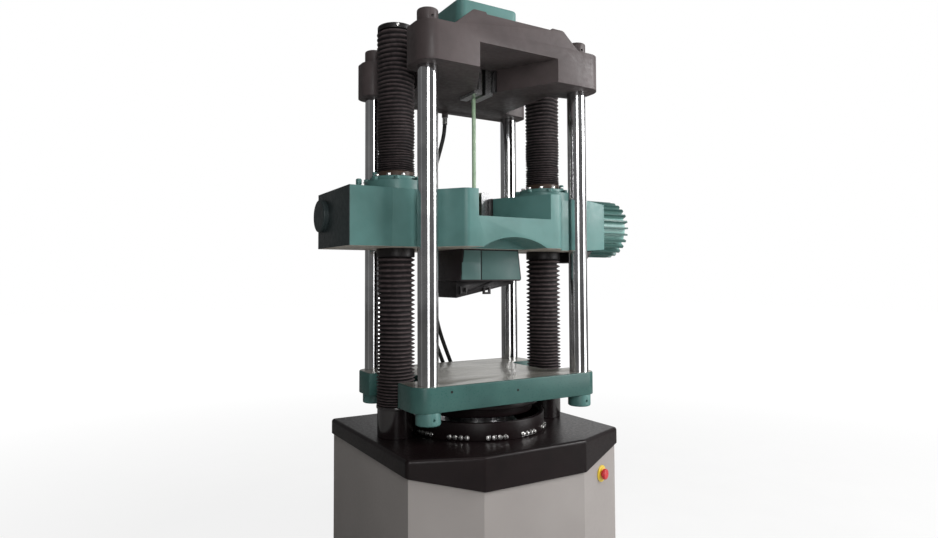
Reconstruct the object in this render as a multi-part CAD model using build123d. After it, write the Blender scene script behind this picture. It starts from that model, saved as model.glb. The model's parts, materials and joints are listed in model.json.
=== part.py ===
from math import asin, atan2, cos, degrees, pi, radians, sin, tan
import os

from build123d import *

# Frame: millimetres, origin on the floor under the ram, +X right, +Y back, +Z up

# Overall heights above the floor
table_top = 1010.0
column_gap = 1519.0  # table top to the underside of the upper crosshead
cover_top = 713.0

# Columns and screws
column_d = 100.0
column_edge_x = 88.0  # column axis to the table's side edge
column_edge_y = 58.0  # column axis to the table's front edge
column_clear = 20.0  # least room between a column and the adjustable crosshead
spigot_d = 80.0
screw_d = 120.0
screw_rise = 1806.0  # screw top above the table top
seat_gap = 0.1  # round seat of a fixed piece
run_gap = 0.05  # round running or sliding fit
face_gap = 0.3  # between faces that slide past each other

# Base cover and cabinet
cover_side_gap = 152.0  # screw axis to the side of the cover
cover_front = 563.0
cover_back = 556.0
facet_front_x = 297.0  # where the flat front ends
facet_side_y = 437.0  # where the straight sides end
cover_corner_r = 22.0
cover_edge_r = 16.0
cover_plate = 26.0
cover_wall = 6.0
skirt_side = 80.0
skirt_front = 158.0
cabinet_inset = 14.0
panel_t = 4.0
panel_floor_gap = 20.0
base_plate_t = 60.0
anchor_edge_gap = 90.0  # anchor hole to the side of the cover
anchor_front_y = 350.0
anchor_back_y = 490.0
anchor_hole_d = 33.0

# Hydraulic cylinder and ram
ram_d = 330.0
cylinder_d = 470.0
cylinder_floor_t = 90.0
cylinder_top_gap = 13.0  # cylinder top below the cover top
gland_h = 46.0
gland_d = 460.0
gland_edge = 4.0
guard_d = 748.0
guard_h = 90.0
guard_wall = 10.0
guard_lip = 26.0
guard_gap = 10.0  # guard ring to the screw pedestals
ram_head_gap = 3.0  # ram head to the guard's lip
ram_head_step = 35.0
ram_head_plate = 34.0
ram_head_h = 76.0
cover_opening_d = 480.0

# Table
table_half_x = 550.0
table_half_y = 384.0
table_t = 120.0
table_corner_r = 78.0
table_edge = 4.0
notch_half_y = 178.0
notch_gap = 25.0  # bellows to the bottom of the table's notch
notch_r = 60.0
lower_nut_d = 120.0
lower_nut_h = 62.0
upper_nut_d = 104.0
upper_nut_h = 84.0
nut_edge_r = 8.0
tommy_hole_d = 14.0

# Screw dressing
pedestal_d = 188.0
pedestal_h = 158.0
pedestal_bore_d = 124.0
pedestal_lip_d = 198.0
pedestal_lip_h = 14.0
foundation_nut_d = 200.0
foundation_nut_h = 80.0
bellows_d = 186.0
bellows_bore_d = 140.0
cap_d = 190.0
cap_h = 26.0
cap_skirt_h = 22.0

# Upper crosshead
head_edge_gap = 88.0  # column axis to the outer face of an arm
head_front_gap = 119.0  # column axis to the front face
head_back_gap = 74.0
head_core_gap = 29.0  # bellows to the side faces between the arms
head_dip_h = 187.0  # top of the casting over the arms
head_pad_h = 274.0
head_centre_h = 264.0
head_dip_inset = 86.0  # start of the rise inboard of the column axis
head_pad_x = 275.0
head_pad_inner_x = 204.0
head_pad_step = 6.0
head_slot_half = 240.0
head_slot_h = 121.0
head_arm_slope = 30.0  # the arms deepen towards the middle
head_front_r = 88.0
head_back_r = 66.0
head_plan_r = 26.0

# Adjustable crosshead
beam_bottom_rise = 658.0  # underside above the table top
beam_h = 282.0
beam_front_y = 398.0
beam_back_y = 360.0
beam_end_run = 122.0  # screw axis to the end face
beam_end_y = 224.0
beam_shoulder_x = 425.0
beam_nose_x = 290.0
beam_plan_r = 45.0
beam_notch_half = 221.0
beam_notch_floor = 150.0  # above the underside
beam_arch_half = 195.0
beam_arch_h = 52.0
beam_arch_depth = 190.0
turret_d = 326.0
turret_h = 56.0

# Drive nuts and the worm drive
nut_hub_d = 170.0
nut_bottom = 30.0  # above the underside of the casting
nut_floor = 92.0
wheel_d = 216.0
wheel_width = 84.0
wheel_gap = 6.0
worm_d = 70.0
worm_length = 150.0
worm_wheel_centre = 140.0
drive_rise = 164.0  # worm axis above the underside of the casting
motor_drop = 14.0  # motor axis below the worm axis
shaft_d = 44.0
shaft_bore_d = 90.0
bearing_w = 30.0
cover_flange_d = 270.0
cover_flange_h = 24.0
collar_d = 196.0
collar_h = 30.0
lower_collar_h = 44.0
gear_module = 5.0
gear_teeth = 28
gear_w = 36.0
tooth_tip = 0.8  # tooth height in modules, above and below the pitch circle
tooth_root = 1.2
tooth_tip_share = 0.12  # half thickness of a tooth as a share of the pitch
tooth_root_share = 0.33

# Ends of the adjustable crosshead
end_length = 218.0
end_wall = 22.0
bearing_cap_d = 166.0
bearing_cap_h = 27.0
gear_case_length = 182.0
gear_case_front = 196.0
gear_case_rise = 22.0  # taller than the casting where they meet
gear_case_taper = 26.0
gear_room_half = 82.0
gear_case_wall = 12.0
motor_length = 225.0
motor_fin_d = 350.0
motor_core_d = 276.0
motor_fin_count = 26
motor_fin_t = 9.0
motor_fin_root = 10.0
motor_bevel = 10.0
motor_end_wall = 16.0
rotor_d = 150.0
rotor_length = 130.0
rotor_air_gap = 1.0
rotor_shaft_d = 40.0
bracket_drop = 62.0

# Grips
bar_d = 22.0
wedge_angle = 10.0
upper_jaw_front = 105.0  # jaw faces in front of the bar's axis
lower_jaw_front = 60.0
jaw_back = 55.0
jaw_h = 230.0
jaw_thin = 45.0
jaw_travel = 50.0
jaw_proud_upper = 14.0
jaw_proud_lower = 35.0
pocket_gap = 5.0  # in front of the jaws and behind them
slot_back_half = 66.0  # half width of both slots where they meet the guides
guide_t = 14.0
guide_depth = 30.0
guide_inset = 4.0
upper_housing_x = 192.0
upper_housing_y = 168.0
upper_housing_h = 197.0
housing_wall = 8.0
housing_r = 42.0
housing_edge_r = 12.0
upper_cylinder_d = 210.0
upper_cylinder_h = 110.0
lower_housing_top_x = 176.0
lower_housing_bottom_x = 196.0
lower_housing_y = 170.0
lower_housing_h = 168.0
lower_housing_r = 14.0
bar_clear_d = 64.0
front_plate_t = 4.0  # cover plates on the front of the lower housing
front_plate_edge = 8.0
front_seam_x = -65.0
front_seam_w = 8.0
door_size = (112.0, 90.0)  # raised door on the left plate
door_r = 6.0
manifold_left_h = 88.0
manifold_right_h = 14.0
manifold_half_x = 184.0
manifold_half_y = 116.0
lug_places = (-146.0, 0.0)
lug_size = (46.0, 12.0, 44.0)
lug_eye = (24.0, 22.0)
lug_drop = 48.0  # middle of the eyes below the housing
brace_ends = ((40.0, 8.0), (-119.0, 62.0))  # x and drop below the housing
brace_w = 14.0
brace_t = 8.0

# Emergency stop on the right front facet
estop_z = 503.0
estop_along = 0.52  # share of the facet from the flat front
estop_collar_d = 84.0
estop_collar_t = 7.0
estop_head_d = 54.0
estop_head_t = 15.0
estop_stem_d = 28.0
estop_stem_proud = 17.0

# Hydraulic power pack
reservoir_size = (250.0, 230.0, 300.0)
reservoir_x = -170.0
pack_y = -385.0
pump_motor_d = 170.0
pump_motor_l = 250.0
pump_motor_x = 70.0
pump_size = (80.0, 110.0, 120.0)
foot_h = 70.0

# Grip hoses
hose_d = 24.0
fitting_d = 38.0
fitting_h = 30.0
elbow_w = 44.0
elbow_h = 50.0
elbow_drop = 30.0  # top of the elbow below the table top
elbow_back = 30.0  # elbow block behind the hose's axis
manifold_port_drop = 60.0  # hose ports below the lower grip housing
hose_bend_share = 0.45  # of the shorter run, at each bend

# Points along each hose: x, y and the share of the height between its two fittings
left_hose_points = [
    (-150, 146, 1),
    (-150, 216, 1),
    (-132, 310, 0.94),
    (-95, 372, 0.81),
    (-45, 412, 0.64),
    (10, 430, 0.47),
    (65, 440, 0.3),
    (110, 445, 0.15),
    (125, 446, 0.07),
    (125, 446, 0),
]
right_hose_points = [
    (-98, 146, 1),
    (-98, 218, 1),
    (-80, 313, 0.95),
    (-43, 376, 0.81),
    (8, 414, 0.64),
    (64, 432, 0.47),
    (120, 442, 0.3),
    (166, 447, 0.15),
    (182, 448, 0.07),
    (182, 448, 0),
]

# The upper hose's y is taken from the back edge of the table
upper_hose_points = [
    (24, -12, 1),
    (24, -12, 0.95),
    (8, 8, 0.88),
    (-40, 32, 0.76),
    (-88, 44, 0.59),
    (-106, 46, 0.42),
    (-110, 44, 0.26),
    (-110, 34, 0.13),
    (-110, 30, 0.05),
    (-110, 30, 0),
]

# Places, levels and radii worked out from the sizes above
screw_x = guard_d / 2 + guard_gap + pedestal_d / 2
cover_half_width = screw_x + cover_side_gap
anchor_x = cover_half_width - anchor_edge_gap
column_x = table_half_x - column_edge_x
column_y = table_half_y - column_edge_y
ram_head_d = guard_d - 2 * (guard_lip + ram_head_gap)
table_bottom = table_top - table_t
head_bottom = table_top + column_gap
head_top = head_bottom + head_centre_h
beam_bottom = table_top + beam_bottom_rise
beam_top = beam_bottom + beam_h
drive_z = beam_bottom + drive_rise
screw_top = table_top + screw_rise
plate_under = cover_top - cover_plate
turret_top = beam_top + turret_h
cover_flange_top = turret_top + cover_flange_h
bellows_r = bellows_d / 2
bellows_inner_x = screw_x - bellows_r
head_core_x = bellows_inner_x - head_core_gap
head_dip_x = column_x - head_dip_inset
beam_end_x = screw_x + beam_end_run
pedestal_top = cover_top + pedestal_h
ram_head_bottom = table_bottom - ram_head_h
head_edge_x = column_x + head_edge_gap
head_front_y = column_y + head_front_gap
head_back_y = column_y + head_back_gap
arm_top = head_bottom + head_dip_h
wedge_slope = tan(radians(wedge_angle))
jaw_inner = bar_d / 2 + face_gap
nodes = {}


def post(radius, low, high, x=0.0, y=0.0):
    return Pos(x, y, (low + high) / 2) * Cylinder(radius, high - low)


def axle(radius, left, right, y, z):
    return Pos((left + right) / 2, y, z) * Rot(0, 90, 0) * Cylinder(radius, right - left)


def block(x0, x1, y0, y1, z0, z1):
    return Pos((x0 + x1) / 2, (y0 + y1) / 2, (z0 + z1) / 2) * Box(x1 - x0, y1 - y0, z1 - z0)


def outline(points):
    return make_face(Polyline(*points, close=True))


def prism(face, low, high):
    return extrude(Pos(0, 0, low) * face, high - low)


def across(face, front, back):
    # An XZ outline swept along Y
    return extrude(Plane((0, back, 0), x_dir=(1, 0, 0), z_dir=(0, -1, 0)) * face, back - front)


def mirrored(points):
    return points + [(-x, y) for x, y in reversed(points)]


def base_face(inset):
    half = [(facet_front_x, -cover_front), (cover_half_width, -facet_side_y), (cover_half_width, cover_back)]
    face = outline(mirrored(half))
    if inset:
        face = offset(face, -inset, kind=Kind.INTERSECTION)
    return face


def column_places():
    return [(x, y) for y in (-column_y, column_y) for x in (-column_x, column_x)]


# Base plate, cabinet and cover
def base_plate():
    plate = prism(base_face(cabinet_inset + panel_t), 0, base_plate_t)
    for x in (-anchor_x, anchor_x):
        for y in (-anchor_front_y, anchor_back_y):
            plate -= post(anchor_hole_d / 2, -1, base_plate_t + 1, x, y)
    return plate


def cabinet_panels():
    shell = prism(base_face(cabinet_inset), panel_floor_gap, plate_under)
    shell -= prism(base_face(cabinet_inset + panel_t), 0, cover_top)
    wide = 2 * cover_half_width
    back = cover_back - cabinet_inset - panel_t
    high = cover_top + 1
    nodes["cabinet_front_panel"] = shell & block(-wide, wide, -wide, -facet_side_y, 0, high)
    nodes["cabinet_back_panel"] = shell & block(-wide, wide, back, wide, 0, high)
    nodes["cabinet_left_panel"] = shell & block(-wide, 0, -facet_side_y, back, 0, high)
    nodes["cabinet_right_panel"] = shell & block(0, wide, -facet_side_y, back, 0, high)
    hole = estop_plane(cabinet_inset) * Cylinder(estop_stem_d / 2 + face_gap, 4 * panel_t)
    nodes["cabinet_front_panel"] -= hole


def base_cover():
    face = base_face(0)
    face = fillet(face.vertices(), cover_corner_r)
    cover = prism(face, cover_top - skirt_front, cover_top)
    cover = fillet(cover.faces().sort_by(Axis.Z)[-1].edges(), cover_edge_r)
    cover -= prism(base_face(cover_wall), 0, plate_under)
    side_edge = cover_top - skirt_side
    front_edge = cover_top - skirt_front
    wide = cover_half_width + 1
    under = mirrored([(wide, 0), (wide, side_edge), (facet_front_x, front_edge)])
    cover -= across(outline(under), -cover_front - 1, -facet_side_y)
    cover -= block(-wide, wide, -facet_side_y, cover_back + 1, 0, side_edge)
    cover -= post(cover_opening_d / 2, 0, cover_top + 1)
    for x in (-screw_x, screw_x):
        cover -= post(pedestal_bore_d / 2, 0, cover_top + 1, x)
    return cover


# Hydraulic cylinder and ram
def cylinder_parts():
    top = cover_top - cylinder_top_gap
    body = post(cylinder_d / 2, base_plate_t, top)
    body -= post(ram_d / 2 + run_gap, base_plate_t + cylinder_floor_t, top + 1)
    nodes["cylinder_body"] = body
    gland = post(gland_d / 2, top, top + gland_h) - post(ram_d / 2 + run_gap, top - 1, top + gland_h + 1)
    nodes["gland_ring"] = chamfer(gland.faces().sort_by(Axis.Z)[-1].edges(), gland_edge)
    guard = post(guard_d / 2, cover_top, cover_top + guard_h)
    guard -= post(guard_d / 2 - guard_wall, cover_top - 1, cover_top + guard_h - guard_wall)
    guard -= post(guard_d / 2 - guard_lip, cover_top, cover_top + guard_h + 1)
    nodes["ram_guard_ring"] = guard


def ram_parts():
    nodes["ram"] = post(ram_d / 2, base_plate_t + cylinder_floor_t, ram_head_bottom)
    step = table_bottom - ram_head_plate
    head = post(ram_head_d / 2 - ram_head_step, ram_head_bottom, step)
    head += post(ram_head_d / 2, step, table_bottom)
    nodes["ram_head"] = head


# Table, columns and column nuts
def table():
    face = Rectangle(2 * table_half_x, 2 * table_half_y)
    face = fillet(face.vertices(), table_corner_r)
    notch_x = bellows_inner_x - notch_gap
    notch_l = table_half_x - notch_x + 2 * notch_r
    for side in (-1, 1):
        middle = side * (notch_x + notch_l / 2)
        face -= Pos(middle, 0) * RectangleRounded(notch_l, 2 * notch_half_y, notch_r)
    slab = prism(face, table_bottom, table_top)
    slab = chamfer(slab.faces().sort_by(Axis.Z)[-1].outer_wire().edges(), table_edge)
    for x, y in column_places():
        slab -= post(spigot_d / 2 + seat_gap, table_bottom - 1, table_top + 1, x, y)
    return slab


def column(x, y):
    low = table_bottom - lower_nut_h
    high = arm_top + upper_nut_h
    return post(column_d / 2, table_top, head_bottom, x, y) + post(spigot_d / 2, low, high, x, y)


def column_nut(diameter, low, height, rounded_end, x, y):
    nut = post(diameter / 2, low, low + height)
    nut = fillet(nut.faces().sort_by(Axis.Z)[rounded_end].edges(), nut_edge_r)
    nut -= post(spigot_d / 2 + seat_gap, low - 1, low + height + 1)
    hole = Pos(0, -diameter / 2, low + height / 2) * Rot(90, 0, 0) * Cylinder(tommy_hole_d / 2, diameter / 4)
    return Pos(x, y, 0) * (nut - hole)


# Grips: wedge jaws, their pockets and the guide plates in front of them
def jaw_outline(thin_z, thick_z, reach, gap):
    # One side of the wedge, from the thin end's level towards the thick end
    way = 1 if thick_z > thin_z else -1
    low_x = jaw_inner + jaw_thin - reach * wedge_slope
    high_x = jaw_inner + jaw_thin + (abs(thick_z - thin_z) + reach) * wedge_slope
    slack = gap / cos(radians(wedge_angle))
    return [(low_x + slack, thin_z - way * reach), (high_x + slack, thick_z + way * reach)]


def jaw(side, thin_z, thick_z, front):
    outer = jaw_outline(thin_z, thick_z, 0, 0)
    face = outline([(side * x, z) for x, z in [(jaw_inner, thin_z)] + outer + [(jaw_inner, thick_z)]])
    return across(face, -front, jaw_back)


def jaw_pocket(thin_z, thick_z, reach, front):
    points = jaw_outline(thin_z, thick_z, reach, face_gap)
    return across(outline(mirrored(points)), -front - pocket_gap, jaw_back + pocket_gap)


def grip_slot(front, half_width, jaw_front, low, high):
    # A slot that narrows from the front face to the guides, then runs straight to the jaw pocket
    narrow_y = -jaw_front - pocket_gap - guide_depth
    over = (half_width - slot_back_half) / (front + narrow_y)
    half = [(half_width + over, -front - 1), (slot_back_half, narrow_y), (slot_back_half, -jaw_front)]
    return prism(outline(mirrored(half)), low, high)


def jaw_guides(jaw_front, low, high):
    back = -jaw_front - pocket_gap
    right = block(slot_back_half - guide_t, slot_back_half, back - guide_depth, back, low, high)
    right = chamfer(right.edges().filter_by(Axis.Z).group_by(Axis.Y)[0], guide_t / 3)
    return [right, mirror(right, Plane.YZ)]


# Upper crosshead and its grip housing
upper_jaw_low = head_bottom - jaw_proud_upper
upper_jaw_high = upper_jaw_low + jaw_h


def upper_crosshead():
    arm_y = column_y - head_edge_gap
    root_y = arm_y - head_arm_slope
    half_plan = [
        (head_edge_x, -head_front_y),
        (head_edge_x, -arm_y),
        (head_core_x, -root_y),
        (head_core_x, root_y),
        (head_edge_x, arm_y),
        (head_edge_x, head_back_y),
    ]
    plan = outline(mirrored(half_plan))
    plan = fillet([v for v in plan.vertices() if abs(v.X) < column_x], head_plan_r)
    plan = fillet(plan.vertices().group_by(Axis.Y)[0], head_front_r)
    plan = fillet([v for v in plan.vertices() if abs(v.X) > column_x and v.Y > -column_y], head_back_r)
    half_top = [
        (head_edge_x, head_bottom),
        (head_edge_x, arm_top),
        (head_dip_x, arm_top),
        (head_pad_x, head_bottom + head_pad_h),
        (head_pad_inner_x, head_bottom + head_pad_h),
        (head_pad_inner_x - head_pad_step, head_top),
    ]
    top = outline(mirrored(half_top))
    top = fillet([v for v in top.vertices() if head_pad_inner_x < abs(v.X) < column_x], head_plan_r)
    casting = prism(plan, head_bottom, head_bottom + head_pad_h) & across(top, -head_front_y, head_back_y)
    for x, y in column_places():
        casting -= post(spigot_d / 2 + seat_gap, head_bottom - 1, head_top, x, y)
    slot_top = head_bottom + head_slot_h
    casting -= grip_slot(head_front_y, head_slot_half, upper_jaw_front, head_bottom - 1, slot_top)
    casting -= jaw_pocket(upper_jaw_low, upper_jaw_high, jaw_travel, upper_jaw_front)
    return casting


def upper_grip_parts():
    face = RectangleRounded(2 * upper_housing_x, 2 * upper_housing_y, housing_r)
    box = prism(face, head_top, head_top + upper_housing_h)
    box = fillet(box.faces().sort_by(Axis.Z)[-1].edges(), housing_edge_r)
    room = RectangleRounded(
        2 * (upper_housing_x - housing_wall), 2 * (upper_housing_y - housing_wall), housing_r - housing_wall
    )
    roof = head_top + upper_housing_h - housing_wall
    nodes["upper_grip_housing"] = box - prism(room, head_top - 1, roof)
    nodes["upper_grip_cylinder"] = post(upper_cylinder_d / 2, roof - upper_cylinder_h, roof)
    for side, name in ((-1, "left"), (1, "right")):
        nodes[f"upper_{name}_jaw"] = jaw(side, upper_jaw_low, upper_jaw_high, upper_jaw_front)
    plates = jaw_guides(upper_jaw_front, head_bottom, head_bottom + head_slot_h - guide_inset)
    nodes["upper_jaw_guides"] = Compound(children=plates)
    low = beam_top - jaw_h + 2 * jaw_travel
    nodes["test_bar"] = post(bar_d / 2, low, upper_jaw_high - jaw_travel)


# Adjustable crosshead
lower_jaw_high = beam_top + jaw_proud_lower
lower_jaw_low = lower_jaw_high - jaw_h
drive_y = worm_wheel_centre


def adjustable_crosshead():
    half_plan = [
        (beam_nose_x, -beam_front_y),
        (beam_shoulder_x, -beam_end_y),
        (beam_end_x, -beam_end_y),
        (beam_end_x, beam_end_y),
        (beam_shoulder_x, beam_end_y),
        (beam_nose_x, beam_back_y),
    ]
    plan = outline(mirrored(half_plan))
    inner = [v for v in plan.vertices() if abs(v.X) < (beam_end_x + beam_shoulder_x) / 2]
    casting = prism(fillet(inner, beam_plan_r), beam_bottom, beam_top)
    arch_r = (beam_arch_half**2 + beam_arch_h**2) / (2 * beam_arch_h)
    arch = Pos(0, beam_bottom + beam_arch_h - arch_r) * Circle(arch_r)
    casting -= across(arch, -beam_front_y - 1, -beam_front_y + beam_arch_depth)
    notch_low = beam_bottom + beam_notch_floor
    casting -= grip_slot(beam_front_y, beam_notch_half, lower_jaw_front, notch_low, beam_top + 1)
    casting -= jaw_pocket(lower_jaw_high, lower_jaw_low, lower_jaw_low - beam_bottom + 1, lower_jaw_front)
    for x, y in column_places():
        casting -= post(column_d / 2 + column_clear, beam_bottom - 1, beam_top + 1, x, y)
    for x in (-screw_x, screw_x):
        casting += post(turret_d / 2, beam_top, turret_top, x)
        casting -= post(wheel_d / 2 + wheel_gap, beam_bottom + nut_floor, turret_top + 1, x)
        casting -= post(nut_hub_d / 2 + run_gap, beam_bottom + nut_bottom, turret_top, x)
        casting -= post(screw_d / 2 + wheel_gap, beam_bottom - 1, turret_top, x)
    casting -= axle(shaft_bore_d / 2, -beam_end_x - 1, beam_end_x + 1, drive_y, drive_z)
    return casting


def left_end_parts():
    inner_x = -beam_end_x
    outer_x = inner_x - end_length
    housing = block(outer_x, inner_x, -beam_end_y, beam_end_y, beam_bottom, beam_top)
    wall = end_wall
    room = block(
        outer_x + wall,
        inner_x + 1,
        -beam_end_y + wall,
        beam_end_y - wall,
        beam_bottom + wall,
        beam_top - wall,
    )
    boss = axle(shaft_bore_d / 2 + wall, outer_x, outer_x + 2 * bearing_w, drive_y, drive_z)
    inside = block(outer_x, inner_x, -beam_end_y, beam_end_y, beam_bottom, beam_top)
    housing = housing - room + (boss & inside)
    housing -= axle(shaft_bore_d / 2, outer_x - 1, inner_x, drive_y, drive_z)
    nodes["left_end_housing"] = housing
    cap = axle(bearing_cap_d / 2, outer_x - bearing_cap_h, outer_x, drive_y, drive_z)
    nodes["left_bearing_cap"] = fillet(cap.faces().sort_by(Axis.X)[0].edges(), bearing_cap_h / 4)


def nut_parts():
    hub_low = beam_bottom + nut_bottom
    wheel_low = drive_z - wheel_width / 2
    wheel_high = drive_z + wheel_width / 2
    groove = Pos(0, 0, drive_z) * Torus(worm_wheel_centre, worm_d / 2 + face_gap)
    covers = []
    for side, name in ((-1, "left"), (1, "right")):
        x = side * screw_x
        nut = post(nut_hub_d / 2, hub_low, turret_top) + post(wheel_d / 2, wheel_low, wheel_high)
        nut = nut - post(screw_d / 2 + run_gap, hub_low - 1, turret_top + 1) - groove
        nodes[f"{name}_drive_nut"] = Pos(x, 0, 0) * nut
        plug = post(wheel_d / 2 + wheel_gap - seat_gap, wheel_high + face_gap, turret_top)
        plug += post(cover_flange_d / 2, turret_top, cover_flange_top)
        plug += post(collar_d / 2, cover_flange_top, cover_flange_top + collar_h)
        plug -= post(nut_hub_d / 2 + run_gap, beam_bottom, turret_top + face_gap)
        plug -= post(screw_d / 2 + wheel_gap, beam_bottom, cover_flange_top + collar_h + 1)
        covers.append(Pos(x, 0, 0) * plug)
    nodes["nut_covers"] = Compound(children=covers)
    rings = []
    ring_low = beam_bottom - lower_collar_h
    for x in (-screw_x, screw_x):
        ring = post(collar_d / 2, ring_low, beam_bottom, x)
        rings.append(ring - post(screw_d / 2 + wheel_gap, ring_low - 1, beam_bottom + 1, x))
    nodes["bellows_collars"] = Compound(children=rings)


# Worm shaft, gears and motor
gear_centres = gear_module * gear_teeth
gear_lean = asin(motor_drop / gear_centres)
motor_x = beam_end_x + gear_case_length
motor_y = drive_y - gear_centres * cos(gear_lean)
motor_z = drive_z - motor_drop


def spur_gear(turn, y, z):
    # Straight-sided teeth a little thinner than their gaps
    pitch_r = gear_module * gear_teeth / 2
    tip_r = pitch_r + tooth_tip * gear_module
    root_r = pitch_r - tooth_root * gear_module
    pitch = 2 * pi / gear_teeth
    tip = tooth_tip_share
    root = tooth_root_share
    points = []
    for tooth in range(gear_teeth):
        for radius, share in ((root_r, -root), (tip_r, -tip), (tip_r, tip), (root_r, root)):
            angle = turn + (tooth + share) * pitch
            points.append((radius * cos(angle), radius * sin(angle)))
    middle_x = beam_end_x + gear_case_length / 2
    plane = Plane((middle_x - gear_w / 2, y, z), x_dir=(0, 1, 0), z_dir=(1, 0, 0))
    return extrude(plane * outline(points), gear_w)


def worm_shaft_parts():
    left = -beam_end_x - end_length + bearing_cap_h / 4
    right = motor_x - 2 * motor_end_wall
    shaft = axle(shaft_d / 2, left, right, drive_y, drive_z)
    for x in (-screw_x, screw_x):
        worm = axle(worm_d / 2, x - worm_length / 2, x + worm_length / 2, drive_y, drive_z)
        shaft += worm
    nodes["worm_shaft"] = shaft + spur_gear(pi + gear_lean, drive_y, drive_z)
    bearings = []
    first = -beam_end_x - end_length + bearing_w / 2
    inboard = screw_x - worm_length
    for x in (first, -inboard - bearing_w, inboard, beam_end_x - bearing_w):
        ring = axle(shaft_bore_d / 2, x, x + bearing_w, drive_y, drive_z)
        bearings.append(ring - axle(shaft_d / 2 + run_gap, x - 1, x + bearing_w + 1, drive_y, drive_z))
    nodes["worm_bearings"] = Compound(children=bearings)


def gear_case():
    low = beam_bottom
    high = beam_top + gear_case_rise
    profile = [
        (beam_end_x, low),
        (motor_x, low + gear_case_taper / 2),
        (motor_x, high - gear_case_taper),
        (beam_end_x, high),
    ]
    back = drive_y + gear_room_half
    case = across(outline(profile), -gear_case_front, back + gear_case_wall)
    case -= post(turret_d / 2 + seat_gap, beam_top, high + 1, screw_x)
    room = block(
        beam_end_x - 1,
        motor_x - motor_end_wall,
        motor_y - gear_room_half,
        back,
        motor_z - gear_room_half,
        drive_z + gear_room_half,
    )
    case -= room
    case -= axle(rotor_shaft_d / 2 + run_gap, beam_end_x, motor_x + 1, motor_y, motor_z)
    bracket = [
        (beam_end_x, low),
        (motor_x, low + gear_case_taper / 2),
        (motor_x - gear_case_length / 3, low - bracket_drop),
        (beam_end_x, low - bracket_drop),
    ]
    nodes["gear_case"] = case
    nodes["gear_case_bracket"] = across(outline(bracket), -gear_case_front / 2, gear_case_front / 2)


def motor_housing():
    face = Circle(motor_core_d / 2)
    fin_length = (motor_fin_d - motor_core_d) / 2 + motor_fin_root
    reach = motor_fin_d / 2 - fin_length / 2
    face += PolarLocations(reach, motor_fin_count) * Rectangle(fin_length, motor_fin_t)
    flange = Plane((motor_x, motor_y, motor_z), x_dir=(0, 1, 0), z_dir=(1, 0, 0))
    finned = extrude(flange * face, motor_length)
    fin_r = motor_fin_d / 2
    end = motor_x + motor_length
    low_r = fin_r - motor_bevel
    body = outline([(motor_x, 0), (motor_x, fin_r), (end - motor_bevel, fin_r), (end, low_r), (end, 0)])
    envelope = Pos(0, motor_y, motor_z) * revolve(Plane.XY * body, Axis.X)
    housing = finned & envelope
    room_r = rotor_d / 2 + rotor_air_gap
    housing -= axle(room_r, motor_x + motor_end_wall, end - 2 * motor_end_wall, motor_y, motor_z)
    housing -= axle(rotor_shaft_d / 2 + run_gap, motor_x - 1, end - motor_end_wall, motor_y, motor_z)
    return housing


def motor_rotor():
    start = beam_end_x + bearing_w
    end = motor_x + motor_length - motor_end_wall - face_gap
    middle = motor_x + (motor_length - motor_end_wall) / 2
    rotor = axle(rotor_shaft_d / 2, start, end, motor_y, motor_z)
    rotor += axle(rotor_d / 2, middle - rotor_length / 2, middle + rotor_length / 2, motor_y, motor_z)
    return rotor + spur_gear(gear_lean + pi / gear_teeth, motor_y, motor_z)


# Lower grip, hung under the adjustable crosshead
def lower_grip_parts():
    low = beam_bottom - lower_housing_h
    sides = outline(mirrored([(lower_housing_bottom_x, low), (lower_housing_top_x, beam_bottom)]))
    case = across(sides, -lower_housing_y, lower_housing_y)
    case = fillet(case.edges().filter_by(Axis.Y).group_by(Axis.Z)[0], lower_housing_r)
    bar_hole = post(bar_clear_d / 2, low - manifold_left_h, beam_bottom + 1)
    nodes["lower_grip_housing"] = case + front_plates(sides, low) - bar_hole
    under = [
        (manifold_half_x, low),
        (manifold_half_x, low - manifold_right_h),
        (-manifold_half_x, low - manifold_left_h),
        (-manifold_half_x, low),
    ]
    manifold = across(outline(under), -manifold_half_y, manifold_half_y) - bar_hole
    nodes["lower_grip_manifold"] = manifold + lugs_and_brace(low)
    for side, name in ((-1, "left"), (1, "right")):
        nodes[f"lower_{name}_jaw"] = jaw(side, lower_jaw_high, lower_jaw_low, lower_jaw_front)
    floor = beam_bottom + beam_notch_floor
    nodes["lower_jaw_guides"] = Compound(children=jaw_guides(lower_jaw_front, floor, beam_top))


def front_plates(sides, low):
    # Two cover plates with a seam between them, and a raised door on the left one
    face = offset(sides, -front_plate_edge, kind=Kind.INTERSECTION)
    face -= Pos(front_seam_x, low) * Rectangle(front_seam_w, 3 * lower_housing_h)
    front = -lower_housing_y - front_plate_t
    width, height = door_size
    door_x = front_seam_x - front_seam_w - width / 2
    door_z = low + front_plate_edge + height / 2
    door = Pos(door_x, door_z) * RectangleRounded(width, height, door_r)
    return across(face, front, -lower_housing_y) + across(door, front - front_plate_t, front)


def lugs_and_brace(low):
    width, depth, height = lug_size
    face = Rectangle(width, height) - Rectangle(*lug_eye)
    back = -manifold_half_y
    pieces = [across(Pos(x, low - lug_drop) * face, back - depth, back) for x in lug_places]
    (x0, drop0), (x1, drop1) = brace_ends
    lean = atan2(drop0 - drop1, x1 - x0)
    length = ((x1 - x0) ** 2 + (drop1 - drop0) ** 2) ** 0.5
    middle = Pos((x0 + x1) / 2, low - (drop0 + drop1) / 2) * Rot(0, 0, degrees(lean))
    pieces.append(across(middle * Rectangle(length, brace_w), back - brace_t, back))
    return pieces


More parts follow.
